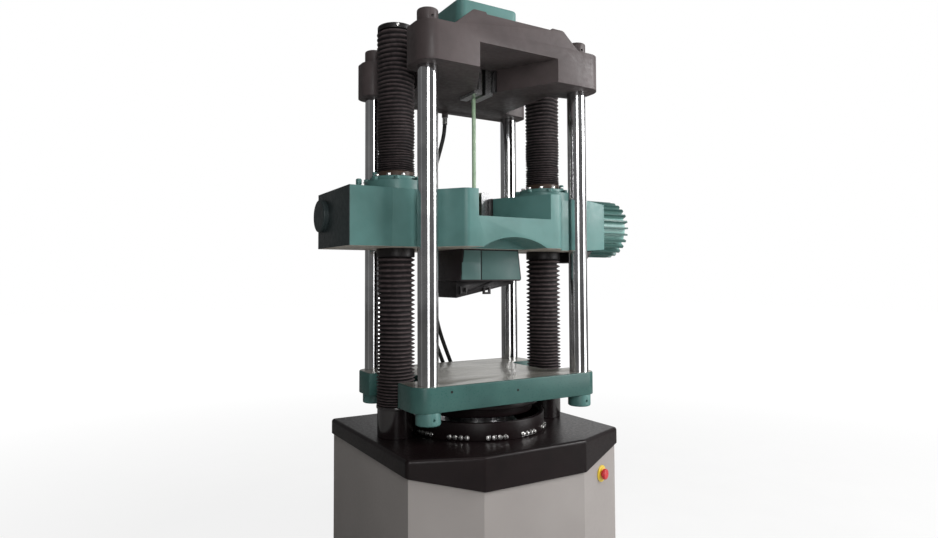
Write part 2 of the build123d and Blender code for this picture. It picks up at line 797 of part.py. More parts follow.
# Screws, pedestals, caps and bellows
def screw_parts():
    pedestals = []
    foundations = []
    caps = []
    for side, name in ((-1, "left"), (1, "right")):
        x = side * screw_x
        nodes[f"{name}_screw"] = post(screw_d / 2, base_plate_t, screw_top, x)
        sleeve = post(pedestal_d / 2, cover_top, pedestal_top, x)
        sleeve += post(pedestal_lip_d / 2, pedestal_top - pedestal_lip_h, pedestal_top, x)
        pedestals.append(sleeve - post(screw_d / 2 + seat_gap, cover_top - 1, pedestal_top + 1, x))
        nut = post(foundation_nut_d / 2, base_plate_t, base_plate_t + foundation_nut_h, x)
        foundations.append(nut - post(screw_d / 2 + seat_gap, 0, cover_top, x))
        cap = post(cap_d / 2, screw_top - cap_skirt_h, screw_top + cap_h - cap_skirt_h, x)
        cap = fillet(cap.faces().sort_by(Axis.Z)[-1].edges(), cap_h / 8)
        caps.append(cap - post(screw_d / 2 + seat_gap, 0, screw_top, x))
        tube_low = pedestal_top
        tube_high = beam_bottom - lower_collar_h - face_gap
        nodes[f"{name}_lower_bellows"] = bellows(tube_low, tube_high, x)
        tube_low = cover_flange_top + collar_h + face_gap
        nodes[f"{name}_upper_bellows"] = bellows(tube_low, screw_top - cap_skirt_h, x)
    nodes["screw_pedestals"] = Compound(children=pedestals)
    nodes["screw_foundation_nuts"] = Compound(children=foundations)
    nodes["screw_caps"] = Compound(children=caps)


def bellows(low, high, x):
    return post(bellows_r, low, high, x) - post(bellows_bore_d / 2, low - 1, high + 1, x)


# Hydraulic hoses of the grips
def hose(route):
    points = [Vector(*point) for point in route]
    radii = []
    for before, here, after in zip(points, points[1:], points[2:]):
        turn = (here - before).get_angle(after - here)
        run = min((here - before).length, (after - here).length)
        radii.append(hose_bend_share * run / tan(radians(turn) / 2))
    path = FilletPolyline(*points, radius=radii)
    section = Plane(path @ 0, z_dir=path % 0) * Circle(hose_d / 2)
    return sweep(section, path)


def hose_boss(place, way):
    # A round fitting that ends at the hose's end and stands on the piece behind it
    plane = Plane(place, z_dir=way)
    return plane * Pos(0, 0, fitting_h / 2) * Cylinder(fitting_d / 2, fitting_h)


def hose_route(points, low, high, from_y=0.0):
    return [(x, from_y + y, low + share * (high - low)) for x, y, share in points]


def hoses():
    port_z = beam_bottom - lower_housing_h - manifold_port_drop
    for points, name in ((left_hose_points, "left"), (right_hose_points, "right")):
        route = hose_route(points, cover_top + fitting_h, port_z)
        nodes[f"{name}_grip_hose"] = hose(route)
        nodes["lower_grip_manifold"] += hose_boss(route[0], (0, -1, 0))
        nodes["base_cover"] += hose_boss(route[-1], (0, 0, -1))
    elbow_top = table_top - elbow_drop
    route = hose_route(upper_hose_points, elbow_top, head_bottom - fitting_h, table_half_y)
    nodes["upper_grip_hose"] = hose(route)
    nodes["upper_crosshead"] += hose_boss(route[0], (0, 0, 1))
    x, y, z = route[-1]
    elbow = block(x - elbow_w / 2, x + elbow_w / 2, table_half_y, y + elbow_back, z - elbow_h, z)
    nodes["table"] += elbow


# Emergency stop
def estop_plane(inset):
    run_x = cover_half_width - facet_front_x
    run_y = cover_front - facet_side_y
    turn = atan2(run_y, run_x)
    out = (sin(turn), -cos(turn), 0)
    x = facet_front_x + estop_along * run_x - inset * out[0]
    y = -cover_front + estop_along * run_y - inset * out[1]
    return Plane((x, y, estop_z), x_dir=(cos(turn), sin(turn), 0), z_dir=out)


def estop_parts():
    face = estop_plane(cabinet_inset)
    collar = Cylinder(estop_collar_d / 2, estop_collar_t, align=(Align.CENTER, Align.CENTER, Align.MIN))
    collar = fillet(collar.faces().sort_by(Axis.Z)[-1].edges(), estop_collar_t / 3)
    collar -= Cylinder(estop_stem_d / 2 + run_gap, 4 * estop_collar_t)
    nodes["estop_collar"] = face * collar
    head_low = estop_stem_proud
    head = Pos(0, 0, head_low + estop_head_t / 2) * Cylinder(estop_head_d / 2, estop_head_t)
    head = fillet(head.faces().sort_by(Axis.Z)[-1].edges(), estop_head_t / 2)
    stem_low = -4 * panel_t
    stem = Pos(0, 0, (stem_low + head_low) / 2) * Cylinder(estop_stem_d / 2, head_low - stem_low)
    nodes["estop_button"] = face * (head + stem)


# Hydraulic power pack inside the cabinet
def power_pack():
    width, depth, height = reservoir_size
    low = base_plate_t
    tank = Pos(reservoir_x, pack_y, low + height / 2) * Box(width, depth, height)
    nodes["oil_reservoir"] = fillet(tank.edges().filter_by(Axis.Z), depth / 12)
    axis_z = low + foot_h + pump_motor_d / 2
    motor = axle(pump_motor_d / 2, pump_motor_x, pump_motor_x + pump_motor_l, pack_y, axis_z)
    foot_half = pump_motor_d / 2
    motor += block(
        pump_motor_x + foot_h / 2,
        pump_motor_x + pump_motor_l - foot_h / 2,
        pack_y - foot_half,
        pack_y + foot_half,
        low,
        low + foot_h + pump_motor_d / 4,
    )
    nodes["pump_motor"] = motor
    pump_l, pump_w, pump_h = pump_size
    start = pump_motor_x + pump_motor_l
    pump = Pos(start + pump_l / 2, pack_y, axis_z) * Box(pump_l, pump_w, pump_h)
    nodes["hydraulic_pump"] = fillet(pump.edges().filter_by(Axis.X), pump_w / 5)


nodes["base_plate"] = base_plate()
cabinet_panels()
nodes["base_cover"] = base_cover()
cylinder_parts()
ram_parts()
nodes["table"] = table()
for (x, y), name in zip(column_places(), ("front_left", "front_right", "back_left", "back_right")):
    nodes[f"{name}_column"] = column(x, y)
lower_nuts = []
upper_nuts = []
for x, y in column_places():
    lower_nuts.append(column_nut(lower_nut_d, table_bottom - lower_nut_h, lower_nut_h, 0, x, y))
    upper_nuts.append(column_nut(upper_nut_d, arm_top, upper_nut_h, -1, x, y))
nodes["lower_column_nuts"] = Compound(children=lower_nuts)
nodes["upper_column_nuts"] = Compound(children=upper_nuts)
nodes["upper_crosshead"] = upper_crosshead()
upper_grip_parts()
nodes["adjustable_crosshead"] = adjustable_crosshead()
left_end_parts()
nut_parts()
worm_shaft_parts()
gear_case()
nodes["motor_housing"] = motor_housing()
nodes["motor_rotor"] = motor_rotor()
lower_grip_parts()
screw_parts()
estop_parts()
power_pack()
hoses()

os.makedirs("parts", exist_ok=True)
for name, shape in nodes.items():
    export_step(shape, f"parts/{name}.step")
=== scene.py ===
import json
import math
import random

import bpy
from mathutils import Matrix, Vector

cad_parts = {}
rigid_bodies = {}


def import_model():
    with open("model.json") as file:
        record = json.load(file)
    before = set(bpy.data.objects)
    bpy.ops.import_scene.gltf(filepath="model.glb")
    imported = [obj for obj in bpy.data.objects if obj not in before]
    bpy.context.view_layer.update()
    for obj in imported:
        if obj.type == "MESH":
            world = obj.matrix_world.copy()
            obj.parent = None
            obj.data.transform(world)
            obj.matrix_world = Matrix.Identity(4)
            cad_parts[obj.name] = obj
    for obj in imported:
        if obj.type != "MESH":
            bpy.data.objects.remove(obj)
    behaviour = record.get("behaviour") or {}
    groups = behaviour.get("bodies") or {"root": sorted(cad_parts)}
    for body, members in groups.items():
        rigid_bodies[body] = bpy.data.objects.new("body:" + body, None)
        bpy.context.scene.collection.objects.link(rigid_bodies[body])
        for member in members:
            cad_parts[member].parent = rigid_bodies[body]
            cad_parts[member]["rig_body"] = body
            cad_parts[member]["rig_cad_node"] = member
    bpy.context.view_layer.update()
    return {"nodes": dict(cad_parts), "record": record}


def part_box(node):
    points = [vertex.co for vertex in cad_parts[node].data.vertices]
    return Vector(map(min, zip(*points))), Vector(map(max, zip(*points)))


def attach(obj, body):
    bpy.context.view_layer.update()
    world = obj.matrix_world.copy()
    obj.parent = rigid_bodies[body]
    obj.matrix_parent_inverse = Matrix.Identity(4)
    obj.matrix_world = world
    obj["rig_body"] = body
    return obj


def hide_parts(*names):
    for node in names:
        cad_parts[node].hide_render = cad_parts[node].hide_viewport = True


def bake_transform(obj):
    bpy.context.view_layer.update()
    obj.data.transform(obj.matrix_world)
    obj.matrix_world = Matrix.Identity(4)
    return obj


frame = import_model()
bpy.ops.object.select_all(action="DESELECT")
cadNodes = frame["nodes"]
slotOf = {subpart["node"]: subpart["material_slot"] for subpart in frame["record"]["subparts"]}
print("frame loaded,", len(cadNodes), "nodes")


# small modelling helpers
def activate(piece):
    bpy.ops.object.select_all(action="DESELECT")
    piece.select_set(True)
    bpy.context.view_layer.objects.active = piece


def editAll(piece):
    activate(piece)
    bpy.ops.object.mode_set(mode="EDIT")
    bpy.ops.mesh.select_all(action="SELECT")


def leaveEdit():
    bpy.ops.object.mode_set(mode="OBJECT")


def editSome(piece, kind, test):
    # opens the piece with only the FACE or VERT parts selected that pass the test
    activate(piece)
    mesh = piece.data
    for parts in (mesh.vertices, mesh.edges, mesh.polygons):
        parts.foreach_set("select", [False] * len(parts))
    for part in mesh.polygons if kind == "FACE" else mesh.vertices:
        part.select = test(part)
    bpy.ops.object.mode_set(mode="EDIT")
    bpy.ops.mesh.select_mode(type=kind)


def pull(height):
    bpy.ops.mesh.extrude_region_move(TRANSFORM_OT_translate={"value": (0, 0, height)})


def widen(factor, **where):
    bpy.ops.transform.resize(value=(factor, factor, 1), **where)


def addModifier(piece, kind, **values):
    modifier = piece.modifiers.new(kind.title(), kind)
    for key, value in values.items():
        setattr(modifier, key, value)
    activate(piece)
    bpy.ops.object.modifier_apply(modifier=modifier.name)


def roundEdges(piece, width, steps, fromAngle=40):
    addModifier(piece, "BEVEL", width=width, segments=steps, limit_method="ANGLE",
                angle_limit=math.radians(fromAngle))


def stackUp(piece, count, pitch, **values):
    addModifier(piece, "ARRAY", count=count, use_relative_offset=False, use_constant_offset=True,
                constant_offset_displace=(0, 0, pitch), **values)


def addCylinder(sides, radius, height, foot=0.0, ends="NGON"):
    # stands on the level foot
    bpy.ops.mesh.primitive_cylinder_add(vertices=sides, radius=radius, depth=height, end_fill_type=ends,
                                        location=(0, 0, foot + height / 2))
    return bpy.context.active_object


def applyPlace(piece):
    activate(piece)
    bpy.ops.object.transform_apply(location=True, rotation=True, scale=True)
    return piece


def settle(piece, name, material, angle=35):
    # place goes into the mesh, the finish goes on
    applyPlace(piece)
    piece.name = name
    piece.data.name = name
    piece.data.materials.clear()
    piece.data.materials.append(material)
    bpy.ops.object.shade_smooth_by_angle(angle=math.radians(angle))
    piece.select_set(False)
    return piece


def joinAll(pieces):
    # the first piece takes up the others
    activate(pieces[0])
    for piece in pieces[1:]:
        piece.select_set(True)
    if len(pieces) > 1:
        bpy.ops.object.join()
    return pieces[0]


def copyTo(piece, place, direction=(0, 0, 1), turn=0.0):
    # a copy with its own mesh, its own +Z laid along direction
    twin = piece.copy()
    twin.data = piece.data.copy()
    bpy.context.scene.collection.objects.link(twin)
    spin = Matrix.Rotation(turn, 4, "Z")
    lean = Vector((0, 0, 1)).rotation_difference(Vector(direction)).to_matrix().to_4x4()
    twin.data.transform(Matrix.Translation(place) @ lean @ spin)
    return twin


def discard(piece):
    bpy.data.objects.remove(piece, do_unlink=True)


def middleX(node):
    lowest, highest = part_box(node)
    return (lowest.x + highest.x) / 2


# colours are written as seen, in sRGB
def colour(text):
    values = [int(text[i:i + 2], 16) / 255 for i in (0, 2, 4)]
    linear = [v / 12.92 if v <= 0.04045 else ((v + 0.055) / 1.055) ** 2.4 for v in values]
    return (*linear, 1.0)


# small node helpers, for materials and for the world
def addNode(tree, kind, **values):
    made = tree.nodes.new(kind)
    for key, value in values.items():
        setattr(made, key, value)
    return made


def combine(tree, operation, first, second):
    made = addNode(tree, "ShaderNodeMath", operation=operation)
    tree.links.new(first, made.inputs[0])
    tree.links.new(second, made.inputs[1])
    return made.outputs["Value"]


def mapRange(tree, field, low, high, fromLow=0.0, fromHigh=1.0, shape="LINEAR"):
    # low may also be another node's output
    made = addNode(tree, "ShaderNodeMapRange", interpolation_type=shape)
    made.inputs["From Min"].default_value = fromLow
    made.inputs["From Max"].default_value = fromHigh
    made.inputs["To Max"].default_value = high
    if isinstance(low, bpy.types.NodeSocket):
        tree.links.new(low, made.inputs["To Min"])
    else:
        made.inputs["To Min"].default_value = low
    tree.links.new(field, made.inputs["Value"])
    return made.outputs["Result"]


class Finish:
    # one procedural material, built node by node
    def __init__(self, name, base, rough, metal=0.0, coat=0.0, specular=0.5, coatRough=0.18):
        self.material = bpy.data.materials.new(name)
        self.material.use_nodes = True
        self.tree = self.material.node_tree
        self.link = self.tree.links.new
        self.shader = self.tree.nodes["Principled BSDF"]
        self.shader.inputs["Base Color"].default_value = colour(base)
        self.shader.inputs["Roughness"].default_value = rough
        self.shader.inputs["Metallic"].default_value = metal
        self.shader.inputs["Coat Weight"].default_value = coat
        self.shader.inputs["Coat Roughness"].default_value = coatRough
        self.shader.inputs["Specular IOR Level"].default_value = specular
        self.place = self.node("ShaderNodeTexCoord").outputs["Object"]

    def node(self, kind, **values):
        return addNode(self.tree, kind, **values)

    def moved(self, location=(0, 0, 0), scale=(1, 1, 1)):
        mapping = self.node("ShaderNodeMapping")
        mapping.inputs["Location"].default_value = location
        mapping.inputs["Scale"].default_value = scale
        self.link(self.place, mapping.inputs["Vector"])
        return mapping.outputs["Vector"]

    def noise(self, scale, detail=4.0, rough=0.55, stretch=(1, 1, 1)):
        made = self.node("ShaderNodeTexNoise")
        made.inputs["Scale"].default_value = scale
        made.inputs["Detail"].default_value = detail
        made.inputs["Roughness"].default_value = rough
        self.link(self.moved(scale=stretch), made.inputs["Vector"])
        return made.outputs["Fac"]

    def distance(self, x=None, y=None, z=None):
        # how far the surface lies from a point, or from an axis where one value is left out
        centre = (x, y, z)
        made = self.node("ShaderNodeVectorMath", operation="LENGTH")
        self.link(self.moved(location=[-value if value else 0.0 for value in centre],
                             scale=[0.0 if value is None else 1.0 for value in centre]), made.inputs[0])
        return made.outputs["Value"]

    def beyond(self, level, axis="Z"):
        # 1 where the surface lies past level on that axis, else 0
        split = self.node("ShaderNodeSeparateXYZ")
        self.link(self.place, split.inputs[0])
        test = self.node("ShaderNodeMath", operation="GREATER_THAN")
        test.inputs[1].default_value = level
        self.link(split.outputs[axis], test.inputs[0])
        return test.outputs["Value"]

    def spread(self, field, low, high, fromLow=0.3, fromHigh=0.7):
        return mapRange(self.tree, field, low, high, fromLow, fromHigh)

    def blendColours(self, field, first, second, low=0.35, high=0.65):
        ramp = self.node("ShaderNodeValToRGB")
        for stop, position, shade in zip(ramp.color_ramp.elements, (low, high), (first, second)):
            stop.position = position
            stop.color = colour(shade)
        self.link(field, ramp.inputs["Fac"])
        return ramp.outputs["Color"]

    def mixColours(self, field, first, second):
        mix = self.node("ShaderNodeMix", data_type="RGBA")
        self.link(field, mix.inputs["Factor"])
        self.link(first, mix.inputs[6])
        self.link(second, mix.inputs[7])
        return mix.outputs[2]

    def mottled(self, shades, scale=4.0, detail=3.0, low=0.3, high=0.62):
        return self.blendColours(self.noise(scale, detail), *shades, low, high)

    def base(self, socket):
        self.link(socket, self.shader.inputs["Base Color"])

    def rough(self, socket):
        self.link(socket, self.shader.inputs["Roughness"])

    def bump(self, *layers):
        # layers of (height field, strength, depth in metres)
        below = None
        for field, strength, depth in layers:
            made = self.node("ShaderNodeBump")
            made.inputs["Strength"].default_value = strength
            made.inputs["Distance"].default_value = depth
            self.link(field, made.inputs["Height"])
            if below:
                self.link(below, made.inputs["Normal"])
            below = made.outputs["Normal"]
        self.link(below, self.shader.inputs["Normal"])

    def sprayed(self, rough):
        # paint over rough iron
        self.rough(self.spread(self.noise(38.0, 5.0), rough - 0.08, rough + 0.12))
        self.bump((self.noise(22.0, 2.0), 0.16, 0.004), (self.noise(420.0, 2.0), 0.12, 0.0008))


# finishes of the machine
def castingPaint(name, shades, rough, others=()):
    # others hold (axis, level, paint), where the paint covers all that lies before level
    finish = Finish(name, shades[1], rough, coat=0.05, specular=0.3)
    paint = finish.mottled(shades)
    for axis, level, other in others:
        paint = finish.mixColours(finish.beyond(level, axis), finish.mottled(**other), paint)
    finish.base(paint)
    finish.sprayed(rough)
    return finish.material


def finnedPaint(name, lowest, highest, shades, finLightAndShade, rough, root, tip, endDepth):
    # painted light and shade: the body between the fins is painted lighter and the fins darker towards their
    # tips, the end face is plain
    finish = Finish(name, shades[1], rough, coat=0.05, specular=0.3)
    middle = (lowest + highest) / 2
    height = finish.spread(finish.distance(y=middle.y, z=middle.z), 0.0, 1.0, root, tip)
    paintedFinShade = finish.blendColours(height, *finLightAndShade, 0.1, 0.8)
    finish.base(finish.mixColours(finish.beyond(highest.x - endDepth, "X"), paintedFinShade, finish.mottled(shades)))
    finish.sprayed(rough)
    return finish.material


def tablePaintAndSteel(topLevel):
    # green edges, ground steel on the working face
    finish = Finish("tableFinish", "A6A39A", 0.3, specular=0.3)
    onTop = finish.beyond(topLevel)
    paint = finish.mottled(("395C58", "446B66"))
    steel = finish.blendColours(finish.noise(7.0, 5.0, stretch=(1, 4, 1)), "93918A", "B1AEA5", 0.3, 0.7)
    finish.base(finish.mixColours(onTop, paint, steel))
    finish.link(finish.spread(onTop, 0.0, 0.6, 0.0, 1.0), finish.shader.inputs["Metallic"])
    finish.rough(finish.spread(finish.noise(120.0, 3.0, stretch=(1, 12, 1)), 0.24, 0.40))
    finish.bump((finish.noise(300.0, 2.0), 0.08, 0.0006))
    return finish.material


def cabinetPaint():
    finish = Finish("cabinetPaint", "A29C99", 0.46)
    finish.base(finish.blendColours(finish.noise(2.2, 3.0), "9D9794", "A6A09D", 0.3, 0.7))
    finish.rough(finish.spread(finish.noise(60.0, 3.0), 0.40, 0.54))
    finish.bump((finish.noise(900.0, 2.0), 0.10, 0.0006), (finish.noise(5.0, 1.0), 0.05, 0.004))
    return finish.material


def coverPaint():
    finish = Finish("coverPaint", "1B1213", 0.32, coat=0.04, specular=0.18)
    finish.base(finish.blendColours(finish.noise(6.0, 6.0), "140D0E", "1D1415", 0.3, 0.72))
    finish.rough(finish.spread(finish.noise(70.0, 4.0), 0.28, 0.42))
    finish.bump((finish.noise(650.0, 3.0), 0.22, 0.0009))
    return finish.material


def glossEnamel(name, shade, paler):
    finish = Finish(name, shade, 0.2, coat=0.7)
    finish.base(finish.blendColours(finish.noise(12.0, 4.0), shade, paler))
    finish.rough(finish.spread(finish.noise(60.0, 3.0), 0.14, 0.26))
    finish.bump((finish.noise(40.0, 2.0), 0.06, 0.002))
    return finish.material


def chromePlate():
    finish = Finish("chromePlate", "D2D2D3", 0.1, metal=1.0)
    finish.rough(finish.spread(finish.noise(90.0, 3.0, stretch=(1, 1, 14)), 0.07, 0.14))
    finish.base(finish.blendColours(finish.noise(9.0, 2.0), "C6C6C8", "DADADB"))
    return finish.material


def groundSteel(name, shade, rough, stretch=(1, 1, 1)):
    finish = Finish(name, shade, rough, metal=1.0)
    grain = finish.noise(160.0, 4.0, stretch=stretch)
    finish.rough(finish.spread(grain, rough - 0.07, rough + 0.1))
    finish.bump((grain, 0.08, 0.0005))
    return finish.material


def blackSteel():
    finish = Finish("blackSteel", "1E1C1D", 0.42, metal=0.35)
    finish.base(finish.blendColours(finish.noise(14.0, 5.0), "151314", "2B2829"))
    finish.rough(finish.spread(finish.noise(90.0, 4.0), 0.34, 0.54))
    finish.bump((finish.noise(300.0, 3.0), 0.12, 0.0006))
    return finish.material


def bellowsCloth(name, axisX, valley, tip):
    # painted highlight on the pleat tips and painted shade in the folds, with patchy rubbed wear, cloth grain
    # all over
    finish = Finish(name, "2B2526", 0.72, specular=0.35)
    reach = finish.spread(finish.distance(x=axisX, y=0.0), 0.0, 1.0, valley, tip)
    tipHighlightAndWear = combine(finish.tree, "MULTIPLY", reach, finish.spread(finish.noise(34.0, 5.0), 0.55, 1.15))
    finish.base(finish.blendColours(tipHighlightAndWear, "120E0F", "564B4C", 0.2, 1.0))
    finish.rough(finish.spread(finish.noise(50.0, 3.0), 0.62, 0.82))
    finish.bump((finish.noise(120.0, 3.0), 0.25, 0.0016), (finish.noise(1500.0, 2.0), 0.3, 0.0005))
    return finish.material


def smoothPlastic(name, shade, paler, rough):
    finish = Finish(name, shade, rough, coat=0.3)
    finish.base(finish.blendColours(finish.noise(40.0, 3.0), shade, paler))
    finish.rough(finish.spread(finish.noise(200.0, 3.0), rough - 0.05, rough + 0.08))
    finish.bump((finish.noise(700.0, 2.0), 0.05, 0.0003))
    return finish.material


def hoseRubber():
    finish = Finish("hoseRubber", "171617", 0.5)
    finish.base(finish.blendColours(finish.noise(25.0, 4.0), "121112", "242223"))
    finish.rough(finish.spread(finish.noise(160.0, 3.0), 0.42, 0.6))
    finish.bump((finish.noise(800.0, 2.0), 0.12, 0.0004))
    return finish.material


greens = ("507672", "5C8682")
gripGreens = ("4A6664", "567370")
gripDarks = ("1F1B1C", "2A2527")
# the beam's left end face and its bearing cap are painted dark slate
leftEndDarks = ("283132", "303A3B")
collarBrowns = ("3A2C24", "4A3A30")
# the undersides of the beam and its left end are painted pale cream
paleUndersideShades = {"shades": ("B5AC9F", "CFC7BB"), "scale": 30.0, "detail": 4.0, "low": 0.35, "high": 0.65}
finishes = {
    "cabinet_grey": cabinetPaint(),
    "cover_black": coverPaint(),
    "green_paint": castingPaint("greenPaint", greens, 0.40),
    "brown_paint": castingPaint("brownPaint", ("453D3D", "554C4C"), 0.50),
    "chrome_column": chromePlate(),
    "bright_steel": groundSteel("brightSteel", "BDBDBE", 0.28, (1, 1, 6)),
    "dark_steel": blackSteel(),
    "grey_iron": castingPaint("greyPrimer", ("6E7274", "7C8082"), 0.55),
    "bronze_nut": groundSteel("bronze", "B98F55", 0.35),
    "bellows_cloth": bellowsCloth("bellowsPlain", axisX=0.0, valley=0.4, tip=0.6),
    "hose_rubber": hoseRubber(),
    "test_bar_green": smoothPlastic("barCoating", "9DBB99", "B0CBA9", 0.34),
    "stop_red": smoothPlastic("stopRed", "C81F2A", "D42C35", 0.28),
    "stop_yellow": smoothPlastic("stopYellow", "EBCB3C", "F2D650", 0.34),
}
boltSteel = groundSteel("boltSteel", "C9C8C6", 0.24)
for name, slot in slotOf.items():
    cadNodes[name].data.materials.clear()
    cadNodes[name].data.materials.append(finishes[slot])

# pieces with a paint of their own
paintReach = {                   # how far past its face a paint goes
    "tableTop": 0.0003,
    "nutFlange": 0.0005,
    "gripPlates": 0.0076,
    "paleUnderside": 0.0006,
    "leftEndFace": 0.004,
}
nutCover = {"collar": 0.030, "flange": 0.024}        # heights of the upper two steps
# painted light between the motor's fins and painted shade on their tips
motorFins = {"shades": greens, "finLightAndShade": ("84ACA6", "3F605B"), "rough": 0.40,
             "root": 0.138, "tip": 0.175, "endDepth": 0.0005}
tableLow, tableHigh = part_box("table")
beamEnd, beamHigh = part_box("left_end_housing")
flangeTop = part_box("nut_covers")[1].z - nutCover["collar"]
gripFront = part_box("lower_grip_housing")[0].y
underside = ("Z", beamEnd.z + paintReach["paleUnderside"], paleUndersideShades)
flangeFace = ("Z", flangeTop + paintReach["nutFlange"], {"shades": greens})
gripPlates = ("Y", gripFront + paintReach["gripPlates"], {"shades": gripGreens})
leftEndFace = ("X", beamEnd.x + paintReach["leftEndFace"], {"shades": leftEndDarks})
ownFinish = {
    "table": tablePaintAndSteel(tableHigh.z - paintReach["tableTop"]),
    "screw_pedestals": glossEnamel("pedestalEnamel", "171213", "221B1C"),
    "nut_covers": castingPaint("nutCoverPaint", collarBrowns, 0.40, [flangeFace]),
    "lower_grip_housing": castingPaint("gripPaint", gripDarks, 0.40, [gripPlates]),
    "motor_housing": finnedPaint("motorPaintAndFinShade", *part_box("motor_housing"), **motorFins),
    "adjustable_crosshead": castingPaint("beamPaint", greens, 0.40, [underside]),
    "left_end_housing": castingPaint("endPaint", greens, 0.40, [leftEndFace, underside]),
    "left_bearing_cap": castingPaint("bearingCapPaint", leftEndDarks, 0.40),
}
for name, material in ownFinish.items():
    cadNodes[name].data.materials[0] = material
print("finishes ready:", len(bpy.data.materials))


# castings and housings: a copy of the solid with softened edges stands for it
softened = {
    "upper_crosshead": {"body": "ram", "width": 0.009, "steps": 3},
    "adjustable_crosshead": {"body": "crosshead", "width": 0.007, "steps": 3},
    "table": {"body": "ram", "width": 0.003, "steps": 2},
    "left_end_housing": {"body": "crosshead", "width": 0.005, "steps": 3},
    "gear_case": {"body": "crosshead", "width": 0.008, "steps": 3},
    "lower_grip_housing": {"body": "crosshead", "width": 0.0016, "steps": 2},
    "lower_grip_manifold": {"body": "crosshead", "width": 0.0020, "steps": 2},
    "gear_case_bracket": {"body": "crosshead", "width": 0.006, "steps": 2},
    "nut_covers": {"body": "crosshead", "width": 0.003, "steps": 2},
    "upper_column_nuts": {"body": "ram", "width": 0.002, "steps": 2},
    "lower_column_nuts": {"body": "ram", "width": 0.002, "steps": 2},
    "ram_head": {"body": "ram", "width": 0.006, "steps": 2},
    "ram_guard_ring": {"body": "base", "width": 0.003, "steps": 2},
    "screw_pedestals": {"body": "base", "width": 0.003, "steps": 2},
    "bellows_collars": {"body": "crosshead", "width": 0.003, "steps": 2},
}
meshCleaning = {"mergeWithin": 0.00002, "flatWithin": 0.6, "smoothUpTo": 38}     # metres, then degrees


def soften(name, body, width, steps):
    piece = cadNodes[name].copy()
    piece.data = cadNodes[name].data.copy()
    piece.parent = None
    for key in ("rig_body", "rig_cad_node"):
        if key in piece:
            del piece[key]
    bpy.context.scene.collection.objects.link(piece)
    editAll(piece)
    bpy.ops.mesh.remove_doubles(threshold=meshCleaning["mergeWithin"])
    bpy.ops.mesh.dissolve_limited(angle_limit=math.radians(meshCleaning["flatWithin"]))
    leaveEdit()
    roundEdges(piece, width, steps)
    settle(piece, name + "_soft", cadNodes[name].data.materials[0], angle=meshCleaning["smoothUpTo"])
    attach(piece, body)
    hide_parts(name)


for name, settings in softened.items():
    soften(name, **settings)
print("castings softened:", len(softened))


# pleated screw bellows
bellowsSettings = {
    "lower": {
        "pitch": 0.0205,         # pleat to pleat, on average
        "sag": 0.36,             # the cloth hangs, so the pleats close up towards the bottom
        "valley": 0.0810,        # radius in the folds
        "tip": 0.0985,           # radius at the tips
        "unevenness": 0.0022,
        "swell": 0.010,
        "seed": 7,
    },
    "upper": {
        "pitch": 0.0185,
        "sag": 0.42,
        "valley": 0.0840,
        "tip": 0.0985,
        "unevenness": 0.0045,
        "swell": 0.022,
        "seed": 11,
    },
}
pleatShape = {
    "around": 72,
    "clothThickness": 0.0014,
    "mergeWithin": 0.0002,
    "bend": 0.10,                # share of the pitch on either side of a fold or a tip that is rounded
    "foldRise": 0.0008,
    "tipDrop": 0.0012,
    "calmPleats": 3,             # the folds come true over this many pleats at each end
    "turnStep": 0.9,             # how far the lean may turn from one pleat to the next, in radians
    "firstAmount": 0.6,
    "amountStep": 0.3,
    "amountRange": (0.2, 1.0),
    "flutter": 0.4,              # share of the finer wave round a pleat
}


def makePleats(axisX, low, high, settings, shape):
    count = round((high - low) / settings["pitch"])
    pitch = (high - low) / count
    valley, tip, bend = settings["valley"], settings["tip"], shape["bend"]
    nearFold, nearTip = valley + shape["foldRise"], tip - shape["tipDrop"]
    rings = [(bend, nearFold), (0.5 - bend, nearTip), (0.5, tip), (0.5 + bend, nearTip),
             (1 - bend, nearFold), (1.0, valley)]
    bpy.ops.mesh.primitive_circle_add(vertices=shape["around"], radius=valley, location=(axisX, 0, low))
    piece = bpy.context.active_object
    editAll(piece)
    share, radius = 0.0, valley
    for nextShare, nextRadius in rings:
        pull((nextShare - share) * pitch)
        widen(nextRadius / radius, center_override=(axisX, 0, low))
        share, radius = nextShare, nextRadius
    leaveEdit()
    stackUp(piece, count, pitch, use_merge_vertices=True, merge_threshold=shape["mergeWithin"])
    ruffle(piece, count, pitch, settings, shape)
    editAll(piece)
    bpy.ops.mesh.normals_make_consistent(inside=False)
    leaveEdit()
    addModifier(piece, "SOLIDIFY", thickness=shape["clothThickness"], offset=-1)
    return piece


def ruffle(piece, count, pitch, settings, shape):
    # each pleat leans and swells a little more or less than the one below, the end folds stay true
    draw = random.Random(settings["seed"])
    least, most = shape["amountRange"]
    turn, amount, leans = 0.0, shape["firstAmount"], []
    for _ in range(count + 1):
        turn += draw.uniform(-shape["turnStep"], shape["turnStep"])
        amount = min(most, max(least, amount + draw.uniform(-shape["amountStep"], shape["amountStep"])))
        leans.append((turn, amount))
    length, calm = count * pitch, shape["calmPleats"] * pitch
    for vertex in piece.data.vertices:
        height = vertex.co.z
        angle = math.atan2(vertex.co.y, vertex.co.x)
        turn, amount = leans[int(height / pitch + 0.001)]
        loose = max(0.0, min(1.0, height / calm, (length - height) / calm))
        wave = math.sin(angle - turn) * amount + shape["flutter"] * math.sin(3 * angle + turn)
        share = height / length
        hung = length * share * (1 - settings["sag"] * (1 - share))
        vertex.co.z = hung + loose * wave * settings["unevenness"]
        swell = 1 + settings["swell"] * loose * math.sin(2 * angle + turn) * amount
        vertex.co.x *= swell
        vertex.co.y *= swell


for side in ("left", "right"):
    for level, settings in bellowsSettings.items():
        nodeName = f"{side}_{level}_bellows"
        lowest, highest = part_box(nodeName)
        axisX = middleX(nodeName)
        cloth = bellowsCloth(f"{nodeName}_cloth", axisX, settings["valley"], settings["tip"])
        pleats = makePleats(axisX, lowest.z, highest.z, settings, pleatShape)
        settle(pleats, nodeName + "_pleats", cloth, angle=60)
        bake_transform(pleats)
        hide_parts(nodeName)
print("bellows pleated")


